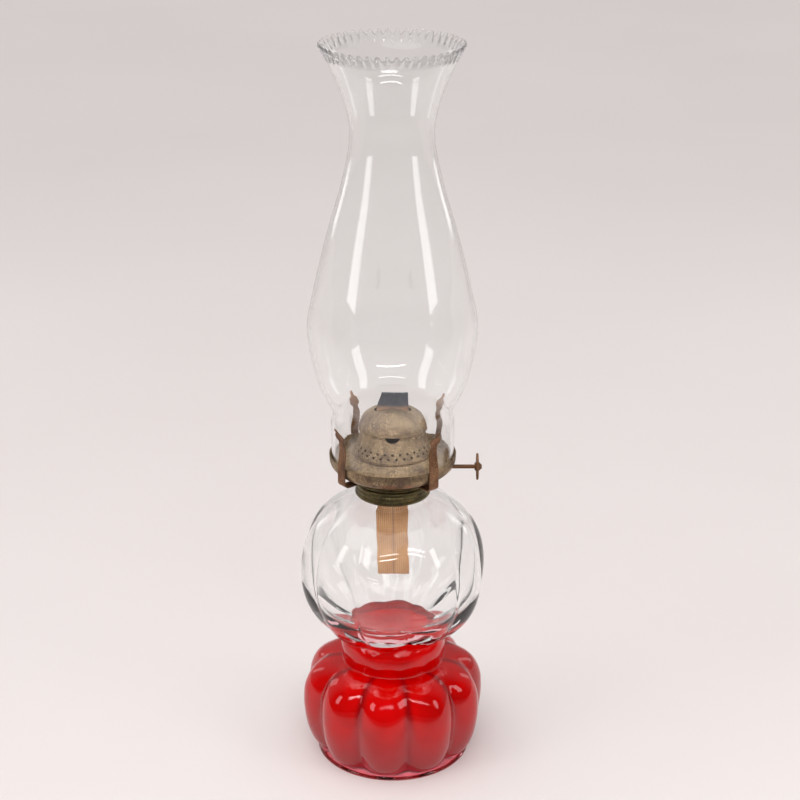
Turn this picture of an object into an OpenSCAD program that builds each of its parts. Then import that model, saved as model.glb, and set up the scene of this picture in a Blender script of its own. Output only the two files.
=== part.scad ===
// Flat-wick oil lamp: ribbed red foot, ribbed clear font, brass burner and crimped glass chimney.
// Millimetres, +Z up. The origin is on the table, on the lamp's axis. +X runs out along the wick shaft.

/* [Ribs] */
// Number of lobes round the foot and the font
rib_count = 10; // [6:2:16]
// Flat steps across one lobe
rib_steps = 6; // [4:2:10]
// Angle from the wick shaft to the crown of the first lobe
rib_turn = 11.5; // [0:0.5:36]

/* [Foot] */
// Radius over the lobes of the foot
foot_r = 51.6; // [44:0.2:62]
// Height of the lobed part of the foot
foot_h = 57.2; // [46:0.2:70]
// Radius of the ring that the foot stands on
foot_base_r = 43.4; // [38:0.2:47]
// Height of the ring that the foot stands on
foot_base_h = 2.4; // [1.6:0.1:4]
// Depth of the grooves between the lobes of the foot
foot_groove = 4.8; // [1:0.1:7]
// Glass wall of the foot
foot_wall = 4; // [2.4:0.1:6]
// Radius of the smooth neck on top of the foot
foot_neck_r = 28.6; // [24:0.1:34]
// Height of the smooth neck on top of the foot
foot_neck_h = 15.2; // [8:0.2:20]

/* [Font] */
// Radius over the lobes of the font
font_r = 52; // [44:0.2:64]
// Height from the font's seat to its widest level
font_low = 41; // [36:0.2:56]
// Height from the font's widest level to the root of its neck
font_high = 44.4; // [36:0.2:56]
// Squareness of the font's section, where 2 is a plain ellipse
font_power = 2.2; // [2:0.05:3]
// Depth of the grooves between the lobes of the font
font_groove = 3.2; // [0.6:0.1:5]
// Glass wall of the font
font_wall = 2.8; // [1.8:0.1:4.5]
// Glass under the fuel
font_floor = 5; // [3:0.1:8]
// Outside radius of the font's neck
neck_r = 18.2; // [17:0.1:22]
// Glass wall of the neck
neck_wall = 2.4; // [1.6:0.1:2.8]
// Height of the neck above its root
neck_h = 7.2; // [6:0.1:12]

/* [Collar and screw] */
// Thickness of the collar's brass
collar_sheet = 0.7; // [0.4:0.05:1]
// Plaster between the neck and the collar
plaster_gap = 1.3; // [0.6:0.1:2]
// Inside radius of the collar's thread
thread_r = 14.6; // [13:0.1:15]
// Height of the threaded wall below the collar's top
thread_h = 7; // [4:0.1:9]
// Distance between the crests of the thread
thread_pitch = 1.8; // [1.2:0.05:2.4]
// Radius of the burner's lower flange
flange_r = 20.2; // [17:0.1:22]
// Height of the burner's lower flange
flange_h = 4.7; // [2:0.1:6]

/* [Gallery] */
// Thickness of the burner's brass
sheet = 0.6; // [0.4:0.05:0.8]
// Radius of the flat bottom of the bowl
bowl_low_r = 25; // [22:0.1:28]
// Height of the round side of the bowl below its rim
bowl_h = 6.6; // [6.4:0.1:12]
// Height of the rim that holds the chimney's foot
rim_h = 3.3; // [2:0.1:5]
// Rise of the floor from the rim to the air cone
floor_rise = 4.2; // [1:0.1:6]
// Room between the chimney and the rim
chimney_gap = 0.5; // [0.3:0.05:1.2]

/* [Air cone and dome] */
// Radius of the air cone at its foot
cone_r = 20.6; // [19:0.1:23]
// Radius of the air cone at its top
cone_top_r = 16.5; // [14:0.1:18]
// Height of the air cone
cone_h = 15.4; // [12:0.1:20]
// Draught holes in one row of the air cone
cone_holes = 30; // [16:2:36]
// Radius of one draught hole
cone_hole_r = 0.65; // [0.4:0.05:0.8]
// Height of the dome
dome_h = 11.2; // [10:0.1:18]
// Room between the dome and the cone that carries it
dome_gap = 0.3; // [0.2:0.05:0.6]

/* [Wick and tube] */
// Width of the wick
wick_w = 17.4; // [12:0.1:19]
// Thickness of the wick
wick_t = 1.8; // [1.4:0.1:2.4]
// Wick standing out above the dome
wick_out = 9.4; // [3:0.1:14]
// Wick hanging below the tube's foot
wick_tail = 50; // [30:0.5:70]
// Slant of the trimmed corner of the wick
wick_trim = 3; // [0:0.1:5]
// Room between the wick and its tube
wick_gap = 0.5; // [0.3:0.05:0.8]
// Gap between the top of the tube and the top of the dome
tube_below_dome = 4; // [2:0.1:6]

/* [Wick winder] */
// Radius over the teeth of a spur wheel
spur_r = 3.8; // [3.2:0.1:4]
// Teeth of a spur wheel
spur_teeth = 14; // [8:1:18]
// Distance between the two spur wheels
spur_spacing = 10; // [6:0.1:11]
// Thickness of a spur wheel
spur_t = 1; // [0.6:0.1:1.6]
// Room between the teeth and the wick
spur_gap = 0.15; // [0.1:0.05:0.4]
// Radius of the wick shaft
shaft_r = 1.1; // [0.8:0.05:1.4]
// Distance from the lamp's axis to the thumb wheel
thumb_x = 46.2; // [44:0.1:50]
// Radius of the thumb wheel
thumb_r = 7.3; // [6:0.1:9]
// Thickness of the thumb wheel
thumb_t = 1.2; // [0.8:0.1:3]
// Running clearance of the shaft in its bearings
shaft_gap = 0.06; // [0.02:0.01:0.1]

/* [Prongs] */
// Angle from the wick shaft to the first prong
prong_turn = 39; // [25:1:65]
// Width of a prong
prong_w = 6.2; // [5:0.1:8]
// Width of a prong at its waist
prong_waist = 4; // [3:0.1:5]
// Width of the leaf near the prong's tip
prong_leaf = 7.2; // [5:0.1:9]
// Height of a prong above the rim
prong_h = 24; // [19:0.1:27]
// How far the tip of a prong leans out from the glass
prong_lean = 5; // [3:0.1:7]
// Room between the chimney and a prong
prong_gap = 0.35; // [0.3:0.05:0.6]
// Radius of the rivet that holds a prong
rivet_r = 1.2; // [0.8:0.1:1.4]

/* [Chimney] */
// Radius of the chimney's foot
chimney_r = 33.4; // [32:0.1:38]
// Height of the chimney
chimney_h = 226; // [180:0.2:260]
// Radius of the chimney's bulb
bulb_r = 45.4; // [42:0.1:54]
// Radius of the chimney's neck
throat_r = 22; // [19:0.1:28]
// Radius of the crimped top
crown_r = 37.8; // [32:0.1:44]
// Glass wall of the chimney
chimney_wall = 1.9; // [1.4:0.05:2.6]
// Points round the crimped top
crown_points = 48; // [24:2:60]
// Depth of the cuts between the points
crown_cut = 3.5; // [1:0.1:4.5]

/* [Hidden] */
$fn = 64;
prongs = 4;
spurs = 2;
joint_gap = 0.1;
overshoot = 1;

// Levels, from the table up
seat_z = foot_h + foot_neck_h;
wide_z = seat_z + font_low;
neck_root_z = wide_z + font_high;
neck_top_z = neck_root_z + neck_h;
collar_z = neck_root_z + 0.8;
collar_top_z = neck_top_z + 0.3 + collar_sheet;
flange_z = collar_top_z + 0.3;
arm_z = flange_z + flange_h + joint_gap;
bowl_z = arm_z + sheet;
rim_z = bowl_z + sheet + bowl_h;
rim_top_z = rim_z + rim_h;
seat_floor_z = rim_z + sheet;
chimney_z = seat_floor_z + 0.3;
cone_z = seat_floor_z + floor_rise;
cone_top_z = cone_z + cone_h;
dome_z = cone_top_z - 0.8;
dome_top_z = dome_z + dome_h;

// Radii that follow from the pieces inside
skirt_r = neck_r + plaster_gap;
collar_r = skirt_r + collar_sheet;
screw_r = thread_r - 0.9;
rim_in_r = chimney_r + chimney_gap;
rim_r = rim_in_r + sheet;
dome_in_r = cone_top_r + sheet + dome_gap;
dome_r = dome_in_r + sheet;

// Wick tube and winder
tube_in_w = wick_w + 2 * wick_gap;
tube_in_t = wick_t + 2 * wick_gap;
tube_w = tube_in_w + 2 * sheet;
tube_t = tube_in_t + 2 * sheet;
tube_z = neck_root_z - 1.6;
tube_top_z = dome_top_z - tube_below_dome;
plate_z = tube_z + 3;
shaft_y = -(wick_t / 2 + spur_gap + spur_r);
shaft_z = bowl_z + 4.2;
cage_y = spur_r + 0.6 - shaft_y;
cage_x = spur_spacing / 2 + spur_t / 2 + 1.6;
bearing_r = shaft_r + shaft_gap;
bush_r = bearing_r + 1.3;
wick_top_z = dome_top_z + wick_out;
wick_low_z = tube_z - wick_tail;

brass = "#8b7d5c";
copper = "#7a5238";
clear = "#dfe9ec";

// ---------- helpers ----------

function unit(v) = v / norm(v);
function left_of(v) = [-v[1], v[0]];
function reversed(list) = [for (i = [len(list) - 1:-1:0]) list[i]];
function segment_normal(path, i) = left_of(unit(path[i + 1] - path[i]));

// Normal at a point of a path, lengthened so that an offset keeps its thickness round a corner
function corner_normal(path, i) =
    let (before = segment_normal(path, max(i - 1, 0)),
         after = segment_normal(path, min(i, len(path) - 2)),
         middle = unit(before + after))
    middle / max(middle * before, 0.6);

// Path moved sideways, to its left for a positive distance
function beside(path, distance) =
    [for (i = [0:len(path) - 1]) path[i] + corner_normal(path, i) * distance];

// Outline of a sheet of thickness t whose middle follows a path
function band(path, t) = concat(beside(path, t / 2), reversed(beside(path, -t / 2)));

// Outline of a wall that lies to the left of a path
function wall(path, t) = concat(path, reversed(beside(path, t)));

// Smooth curve through points, with a number of steps between each two
function curve(p, steps) =
    let (last = len(p) - 1)
    concat(
        [for (i = [0:last - 1], k = [0:steps - 1])
            let (a = p[max(i - 1, 0)], b = p[i], c = p[i + 1], d = p[min(i + 2, last)], t = k / steps)
            (2 * b + (c - a) * t + (2 * a - 5 * b + 4 * c - d) * t * t + (3 * b - a - 3 * c + d) * t * t * t) / 2],
        [p[last]]);

// Share of a groove's depth at an angle from the crown of a lobe: 1 in a groove, 0 on a crown
function groove_at(angle) = 1 - abs(cos(rib_count * angle / 2));

// Ring of points of radius r, at height z, with grooves of depth d
function lobed_ring(r, z, d) =
    let (step = 360 / (rib_count * rib_steps))
    [for (k = [0:rib_count * rib_steps - 1])
        let (q = r - d * groove_at(k * step), a = rib_turn + k * step) [q * cos(a), q * sin(a), z]];

// Closed solid through rings of points, from a first pole to a last one
module ringed_solid(first_pole, rings, last_pole) {
    n = len(rings[0]);
    m = len(rings);
    end = n * m + 1;
    polyhedron(
        points = concat([first_pole], [for (r = rings) each r], [last_pole]),
        faces = concat(
            [for (j = [0:n - 1]) [0, 1 + j, 1 + (j + 1) % n]],
            [for (i = [0:m - 2], j = [0:n - 1])
                let (a = 1 + i * n, b = a + n, k = (j + 1) % n)
                each [[a + j, b + j, b + k], [a + j, b + k, a + k]]],
            [for (j = [0:n - 1]) [end, end - n + (j + 1) % n, end - n + j]]));
}

// Slot shape with round ends: w over the ends, t across
module stadium(w, t) {
    square([w - t, t], center = true);
    for (side = [-1, 1]) translate([side * (w - t) / 2, 0]) circle(d = t);
}

// Round ring of radius r about the axis at height z, with a section of radius size
module bead(r, z, size) {
    rotate_extrude() translate([r, z]) circle(r = size, $fn = 24);
}

module along_x(x) {
    translate([x, 0, 0]) rotate([0, 90, 0]) children();
}

// ---------- glass ----------

// Outline of the foot's lobes as [radius, height, share of the groove]
function foot_outline(r, base_r, h, neck) = [
    [base_r - 1, foot_base_h, 0.1],
    [r - 7.2, h * 0.09, 0.75],
    [r - 3.2, h * 0.22, 1],
    [r - 0.6, h * 0.42, 1],
    [r, h * 0.6, 1],
    [r - 1, h * 0.75, 1],
    [r - 5.6, h * 0.89, 0.8],
    [neck + (r - neck) * 0.4, h * 0.975, 0.3],
    [neck, h, 0]
];

module glass_foot() {
    steps = 2;
    outside = curve(foot_outline(foot_r, foot_base_r, foot_h, foot_neck_r), steps);
    inside = curve(foot_outline(foot_r - foot_wall, foot_base_r - foot_wall, foot_h - foot_wall,
        foot_neck_r - foot_wall), steps);
    roof_z = seat_z - foot_wall;
    neck_bulge = 0.8;
    color("#c3121c")
    difference() {
        ringed_solid(
            [0, 0, roof_z],
            concat(
                [lobed_ring(foot_neck_r - foot_wall - 2, roof_z, 0),
                 lobed_ring(foot_neck_r - foot_wall, roof_z - 2, 0)],
                [for (p = reversed(inside)) lobed_ring(p[0], p[1], p[2] * foot_groove * 0.6)],
                [lobed_ring(foot_base_r - foot_wall - 2, -overshoot, 0), lobed_ring(foot_base_r, -overshoot, 0),
                 lobed_ring(foot_base_r, foot_base_h * 0.7, 0)],
                [for (p = outside) lobed_ring(p[0], p[1], p[2] * foot_groove)],
                [for (t = [0.15, 0.35, 0.65, 0.85])
                    lobed_ring(foot_neck_r + neck_bulge * sin(180 * t), foot_h + foot_neck_h * t, 0)],
                [lobed_ring(foot_neck_r - 0.6, seat_z, 0)]),
            [0, 0, seat_z]);
        translate([0, 0, -3 * overshoot]) cylinder(r = foot_base_r + 2, h = 3 * overshoot);
    }
}

// Rings of the font's body between two angles from its lower pole, with the height on each side of the widest level
function font_rings(r, low, high, power, groove, from, to, count) =
    [for (k = [0:count])
        let (a = from + (to - from) * k / count,
             q = r * pow(sin(a), 2 / power),
             z = a < 90 ? wide_z - low * pow(cos(a), 2 / power) : wide_z + high * pow(-cos(a), 2 / power),
             share = a < 90 ? pow(sin(a), 0.7) : pow(sin(a), 2.2))
        lobed_ring(q, z, groove * share)];

// Angle from the pole at which a body of radius r has radius q
function pole_angle(q, r, power) = asin(pow(q / r, power / 2));

module glass_font() {
    pad_r = foot_neck_r - 1;
    in_power = font_power + 0.2;
    in_r = font_r - font_wall;
    in_neck_r = neck_r - neck_wall;
    low_angle = pole_angle(pad_r, font_r, font_power);
    high_angle = 180 - pole_angle(neck_r + 2, font_r, font_power);
    in_high_angle = 180 - pole_angle(in_neck_r + 1.6, in_r, in_power);
    low = font_low / pow(cos(low_angle), 2 / font_power);
    high = font_high / pow(-cos(high_angle), 2 / font_power);
    in_low = font_low - font_floor;
    in_high = (font_high - font_wall) / pow(-cos(in_high_angle), 2 / in_power);
    color(clear, 0.5)
    ringed_solid(
        [0, 0, seat_z],
        concat(
            font_rings(font_r, low, high, font_power, font_groove, low_angle, high_angle, 18),
            [lobed_ring(neck_r + 0.6, neck_root_z + 0.3, 0), lobed_ring(neck_r, neck_root_z + 0.8, 0),
             lobed_ring(neck_r, neck_top_z, 0), lobed_ring(in_neck_r, neck_top_z, 0),
             lobed_ring(in_neck_r, neck_root_z - 1.2, 0)],
            reversed(font_rings(in_r, in_low, in_high, in_power, font_groove * 0.6, 8, in_high_angle, 14))),
        [0, 0, wide_z - in_low]);
}

// Outside of the chimney as [radius, height above its foot]. The shares place the pinch, bulb, throat and flare.
function chimney_outline() =
    let (h = chimney_h, pinch_r = chimney_r - 0.7, flare = crown_r - throat_r, swell = bulb_r - throat_r)
    [
        [chimney_r, 0],
        [chimney_r, h * 0.095],
        [pinch_r, h * 0.13],
        [bulb_r - (bulb_r - pinch_r) * 0.4, h * 0.205],
        [bulb_r, h * 0.325],
        [bulb_r - swell * 0.13, h * 0.415],
        [throat_r + swell * 0.53, h * 0.56],
        [throat_r + swell * 0.17, h * 0.69],
        [throat_r, h * 0.795],
        [throat_r + flare * 0.21, h * 0.88],
        [throat_r + flare * 0.66, h * 0.955],
        [crown_r, h]
    ];

module chimney() {
    outside = curve(chimney_outline(), 6);
    pitch = 360 / crown_points;
    gap = PI * crown_r / crown_points;
    color(clear, 0.4)
    translate([0, 0, chimney_z])
    difference() {
        rotate_extrude() polygon(wall(outside, chimney_wall));
        for (i = [0:crown_points - 1])
            rotate([90, 0, 90 + pitch * (i + 0.5)])
                translate([0, chimney_h - crown_cut, crown_r - 10])
                    linear_extrude(height = 12)
                        polygon([[-0.35, 0], [0.35, 0], [gap * 1.1, crown_cut * 1.6], [-gap * 1.1, crown_cut * 1.6]]);
    }
}

// ---------- collar ----------

// Plaster that beds the collar on the neck
module collar_plaster() {
    color("#d9cfbd")
    rotate_extrude()
        translate([neck_r, collar_z + 0.4])
            square([plaster_gap, neck_top_z - collar_z - 0.4]);
}

module lamp_collar() {
    wall_top_z = collar_top_z - collar_sheet / 2;
    path = [
        [skirt_r + collar_sheet / 2, collar_z],
        [skirt_r + collar_sheet / 2, wall_top_z],
        [thread_r + collar_sheet / 2, wall_top_z],
        [thread_r + collar_sheet / 2, collar_top_z - thread_h]
    ];
    roll = 0.45;
    crest = 0.25;
    color(brass) {
        rotate_extrude() polygon(band(path, collar_sheet));
        for (z = [collar_z + roll, (collar_z + collar_top_z) / 2, collar_top_z - 2 * roll])
            bead(collar_r, z, roll);
        for (k = [1:floor(thread_h / thread_pitch) - 1])
            bead(thread_r, collar_top_z - k * thread_pitch - 0.5, crest);
    }
}

// ---------- burner ----------

// Ring that screws into the collar
module burner_screw() {
    mid = sheet / 2;
    path = [
        [screw_r - mid, flange_z - thread_h],
        [screw_r - mid, flange_z + mid],
        [flange_r - 0.6, flange_z + mid]
    ];
    crest = 0.3;
    rolls = 3;
    roll = flange_h / rolls / 2;
    color(brass) {
        rotate_extrude() polygon(band(path, sheet));
        rotate_extrude() translate([screw_r - sheet, flange_z])
            square([flange_r - roll / 2 - screw_r + sheet, flange_h]);
        for (k = [0:rolls - 1])
            bead(flange_r - roll, flange_z + (2 * k + 1) * roll, roll * 0.9);
        for (k = [1:floor(thread_h / thread_pitch)])
            bead(screw_r, flange_z - k * thread_pitch + 0.6, crest);
    }
}

// Saucer-shaped bowl with the rim that holds the chimney's foot
module burner_bowl() {
    mid = sheet / 2;
    low = bowl_z + mid;
    flare = rim_r - mid - bowl_low_r;
    lip = 0.5;
    color(brass)
    difference() {
        union() {
            rotate_extrude()
                polygon(band(concat(
                    [[screw_r, low]],
                    curve([
                        [bowl_low_r, low],
                        [bowl_low_r + flare * 0.6, low + bowl_h * 0.24],
                        [bowl_low_r + flare * 0.92, low + bowl_h * 0.62],
                        [rim_r - mid, rim_z]
                    ], 4),
                    [[rim_r - mid, rim_top_z]]), sheet));
            bead(rim_r - mid, rim_top_z, lip);
        }
        translate([0, shaft_y, shaft_z]) along_x(0) cylinder(r = bush_r, h = rim_r + overshoot);
        for (k = [0:prongs - 1])
            rotate([0, 0, prong_angle(k)]) translate([rivet_x(), 0, bowl_z - overshoot])
                cylinder(r = rivet_r, h = sheet + 2 * overshoot, $fn = 32);
    }
}

// Conical floor that the chimney stands on
module gallery_floor() {
    color(brass)
    rotate_extrude()
        polygon(band([
            [rim_in_r - 0.05, seat_floor_z - sheet / 2],
            [chimney_r - chimney_wall - 1.5, seat_floor_z - sheet / 2],
            [cone_r + 1.2, cone_z - sheet / 2],
            [cone_r - 1.6, cone_z - sheet / 2]
        ], sheet));
}

// Cone of draught holes that carries the dome
module air_cone() {
    mid = sheet / 2;
    notch_r = 4.4;
    color(brass)
    difference() {
        rotate_extrude()
            polygon(band([
                [cone_r + 1.2, cone_z + mid],
                [cone_r, cone_z + mid],
                [cone_top_r + mid + 0.4, cone_top_z - 3],
                [cone_top_r + mid, cone_top_z]
            ], sheet));
        for (row = [0:1], k = [0:cone_holes - 1])
            rotate([0, 0, 360 / cone_holes * (k + row / 2)])
                translate([0, 0, cone_z + 3 + row * 2.4])
                    along_x(cone_top_r - 1) cylinder(r = cone_hole_r, h = cone_r - cone_top_r + 4, $fn = 16);
        for (side = [-90, 90])
            rotate([0, 0, side]) translate([0, 0, cone_top_z])
                along_x(cone_top_r - 3) cylinder(r = notch_r, h = 8);
    }
}

// Dome over the wick, with the slot that the flame comes through
module burner_dome() {
    steps = 10;
    mid_r = dome_r - sheet / 2;
    step_h = 1.6;
    arc = [for (k = [0:steps])
        let (a = 86 * k / steps)
        [mid_r * pow(cos(a), 1.1), dome_z + step_h + (dome_h - step_h - sheet / 2) * sin(a)]];
    color(brass)
    difference() {
        rotate_extrude()
            polygon(band(concat([[dome_r + 0.3, dome_z], [mid_r, dome_z + 0.9]], arc), sheet));
        translate([0, 0, dome_z]) linear_extrude(height = dome_h + overshoot)
            stadium(tube_w + 0.8, tube_t + 1.8);
    }
}

module wick_tube() {
    color(brass)
    difference() {
        translate([0, 0, tube_z]) linear_extrude(height = tube_top_z - tube_z)
            difference() {
                stadium(tube_w, tube_t);
                stadium(tube_in_w, tube_in_t);
            }
        for (side = [-1, 1])
            translate([side * spur_spacing / 2 - spur_t / 2 - 0.3, -tube_t, shaft_z - spur_r - 0.3])
                cube([spur_t + 0.6, tube_t, 2 * spur_r + 0.6]);
    }
}

// Plate that closes the screw round the wick tube
module tube_plate() {
    color(brass)
    translate([0, 0, plate_z])
        linear_extrude(height = sheet)
            difference() {
                circle(r = screw_r - sheet - joint_gap);
                stadium(tube_w, tube_t);
                translate(vent_at()) circle(r = vent_r());
            }
}

function vent_r() = 1.5;
function vent_at() = [0, tube_t / 2 + vent_r() + 2.4];

// Small tube that lets the font breathe
module vent_tube() {
    color(brass)
    translate([vent_at()[0], vent_at()[1], plate_z - 2])
        difference() {
            cylinder(r = vent_r(), h = 9);
            translate([0, 0, -overshoot]) cylinder(r = vent_r() - 0.4, h = 9 + 2 * overshoot);
        }
}

// ---------- prongs ----------

function prong_angle(index) = prong_turn + 360 / prongs * index;
function rivet_x() = (screw_r + flange_r) / 2;

// Side view of a prong's middle line as [radius, height]
function prong_path() =
    let (inner = chimney_r + prong_gap + sheet / 2, outer = rim_r + 0.3 + sheet / 2, z = arm_z + sheet / 2, bend = 2.4)
    concat(
        [[rivet_x() - rivet_r - 1, z]],
        [for (a = [0:22.5:90]) [outer - bend + bend * sin(a), z + bend - bend * cos(a)]],
        curve([
            [outer, rim_top_z + 1],
            [inner, rim_top_z + prong_h * 0.4],
            [inner + 0.6, rim_top_z + prong_h * 0.6],
            [inner + prong_lean, rim_top_z + prong_h]
        ], 5));

// Front view of a prong as [half width, height]
function prong_edge() =
    let (top = rim_top_z + prong_h)
    [
        [prong_w / 2, arm_z - overshoot],
        [prong_w / 2, top - 18],
        [prong_waist / 2, top - 11],
        [prong_leaf / 2 - 0.6, top - 8.6],
        [prong_leaf / 2, top - 7],
        [prong_leaf / 2 - 0.8, top - 5.2],
        [1.2, top - 3.8],
        [0.8, top + overshoot]
    ];

module chimney_prong(index) {
    half = prong_edge();
    reach = rim_r + prong_lean + 4;
    color(copper)
    rotate([0, 0, prong_angle(index)])
        difference() {
            intersection() {
                rotate([90, 0, 0]) linear_extrude(height = prong_leaf + 2, center = true)
                    polygon(band(prong_path(), sheet));
                rotate([90, 0, 90]) linear_extrude(height = reach)
                    polygon(concat(half, [for (p = reversed(half)) [-p[0], p[1]]]));
            }
            translate([rivet_x(), 0, arm_z - overshoot])
                cylinder(r = rivet_r, h = sheet + 2 * overshoot, $fn = 32);
        }
}

module prong_rivets() {
    head = 0.7;
    color(copper)
    for (k = [0:prongs - 1])
        rotate([0, 0, prong_angle(k)])
            translate([rivet_x(), 0, arm_z]) {
                cylinder(r = rivet_r, h = 2 * sheet, $fn = 32);
                translate([0, 0, 2 * sheet]) cylinder(r1 = rivet_r + 0.7, r2 = rivet_r, h = head, $fn = 32);
            }
}

// ---------- wick and winder ----------

module wick() {
    half = wick_w / 2;
    trim_z = wick_top_z - 10;
    color("#9a6b42")
    rotate([90, 0, 0])
        linear_extrude(height = wick_t, center = true)
            polygon([[-half, wick_low_z], [half, wick_low_z], [half, wick_top_z],
                [wick_trim - half, wick_top_z], [-half, trim_z]]);
}

module wick_shaft() {
    head = 0.9;
    color(copper)
    translate([0, shaft_y, shaft_z]) {
        along_x(-cage_x - 2) cylinder(r = shaft_r, h = thumb_x + thumb_t / 2 + 0.8 + cage_x + 2);
        along_x(thumb_x + thumb_t / 2 + 0.8) cylinder(r1 = shaft_r + 0.7, r2 = shaft_r, h = head);
    }
}

// Toothed wheel that bites the wick
module spur_wheel(side) {
    root = spur_r - 1;
    color(brass)
    translate([0, shaft_y, shaft_z])
        along_x(side * spur_spacing / 2 - spur_t / 2)
            linear_extrude(height = spur_t)
                difference() {
                    polygon([for (k = [0:spur_teeth * 4 - 1])
                        let (r = [root, spur_r, spur_r, root][k % 4], a = 90 / spur_teeth * (k + [0, 0.3, -0.3, 0][k % 4]))
                        [r * cos(a), r * sin(a)]]);
                    circle(r = shaft_r);
                }
}

// Knurled disc at the end of the shaft
module thumb_wheel() {
    ridges = 36;
    boss_r = 2.2;
    color(copper)
    translate([0, shaft_y, shaft_z])
        difference() {
            union() {
                along_x(thumb_x - thumb_t / 2) linear_extrude(height = thumb_t)
                    polygon([for (k = [0:2 * ridges - 1])
                        let (r = thumb_r - 0.4 * (k % 2), a = 180 / ridges * k) [r * cos(a), r * sin(a)]]);
                along_x(thumb_x - thumb_t / 2 - 1) cylinder(r = boss_r, h = thumb_t + 1.8);
            }
            along_x(thumb_x - thumb_t - 2) cylinder(r = shaft_r, h = 2 * thumb_t + 4);
        }
}

// Bracket on the front of the wick tube that carries the shaft beside the spur wheels
module shaft_cage() {
    inner_y = tube_t / 2;
    tall = 2 * spur_r + 1;
    color(brass)
    difference() {
        translate([0, 0, shaft_z - tall / 2]) linear_extrude(height = tall)
            mirror([0, 1]) {
                for (side = [-1, 1])
                    translate([side * cage_x - sheet / 2, inner_y]) square([sheet, cage_y - inner_y + sheet]);
                translate([-cage_x - sheet / 2, cage_y]) square([2 * cage_x + sheet, sheet]);
            }
        translate([0, shaft_y, shaft_z]) along_x(-cage_x - 2) cylinder(r = bearing_r, h = 2 * cage_x + 4);
    }
}

// Eyelet that guides the shaft through the bowl
module shaft_bushing() {
    mid_x = rim_r - 6.5;
    long = 7;
    color(copper)
    translate([0, shaft_y, shaft_z])
        difference() {
            along_x(mid_x - long / 2) cylinder(r = bush_r, h = long);
            along_x(mid_x - long) cylinder(r = bearing_r, h = 2 * long);
        }
}

// ---------- the lamp ----------

glass_foot();
glass_font();
collar_plaster();
lamp_collar();
burner_screw();
burner_bowl();
gallery_floor();
air_cone();
burner_dome();
wick_tube();
tube_plate();
vent_tube();
shaft_cage();
shaft_bushing();
prong_rivets();
for (k = [1:prongs])
    chimney_prong(k - 1);
wick_shaft();
thumb_wheel();
for (k = [1:spurs])
    spur_wheel(2 * k - 3);
wick();
chimney();
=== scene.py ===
"""The oil lamp's looks: pressed glass, tarnished brass, a charred wick and a crimped chimney."""

import logging
import math
from dataclasses import dataclass
from enum import Enum
from typing import Callable, Sequence

import bmesh
import bpy
from mathutils import Matrix, Vector, noise


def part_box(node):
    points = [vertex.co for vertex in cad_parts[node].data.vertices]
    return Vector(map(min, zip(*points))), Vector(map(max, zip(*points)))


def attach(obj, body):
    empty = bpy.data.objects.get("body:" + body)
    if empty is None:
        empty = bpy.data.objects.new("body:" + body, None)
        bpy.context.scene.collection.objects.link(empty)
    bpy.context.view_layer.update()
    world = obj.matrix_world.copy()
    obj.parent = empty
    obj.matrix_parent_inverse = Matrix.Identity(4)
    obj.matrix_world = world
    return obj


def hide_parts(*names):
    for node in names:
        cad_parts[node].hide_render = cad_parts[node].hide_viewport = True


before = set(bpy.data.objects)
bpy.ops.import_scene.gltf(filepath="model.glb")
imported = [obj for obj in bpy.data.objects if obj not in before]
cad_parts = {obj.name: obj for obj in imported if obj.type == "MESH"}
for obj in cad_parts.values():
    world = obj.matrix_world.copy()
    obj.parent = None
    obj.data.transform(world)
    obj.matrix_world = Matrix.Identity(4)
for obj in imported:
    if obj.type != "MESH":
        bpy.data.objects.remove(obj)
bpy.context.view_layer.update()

LOG = logging.getLogger("oil_lamp")
MM = 0.001
Point = tuple[float, float]
Rib = tuple[float, float, float]
Colour = tuple[float, float, float]
Material = bpy.types.Material
Mesh = bmesh.types.BMesh
Socket = bpy.types.NodeSocket
Thing = bpy.types.Object


class Body(Enum):
    """The moving bodies of the lamp."""

    BASE = "base"
    RING = "burner_ring"
    BURNER = "burner"
    DOME = "dome"
    WINDER = "winder"
    WICK = "wick"
    CHIMNEY = "chimney"


class Slot(Enum):
    """The record's material slots."""

    RED_GLASS = "red_glass"
    CLEAR_GLASS = "clear_glass"
    PLASTER = "plaster"
    DARK_BRASS = "dark_brass"
    TARNISHED_BRASS = "tarnished_brass"
    BROWNED_BRASS = "browned_brass"
    WICK_COTTON = "wick_cotton"


# ---------- shader maths ----------


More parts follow.
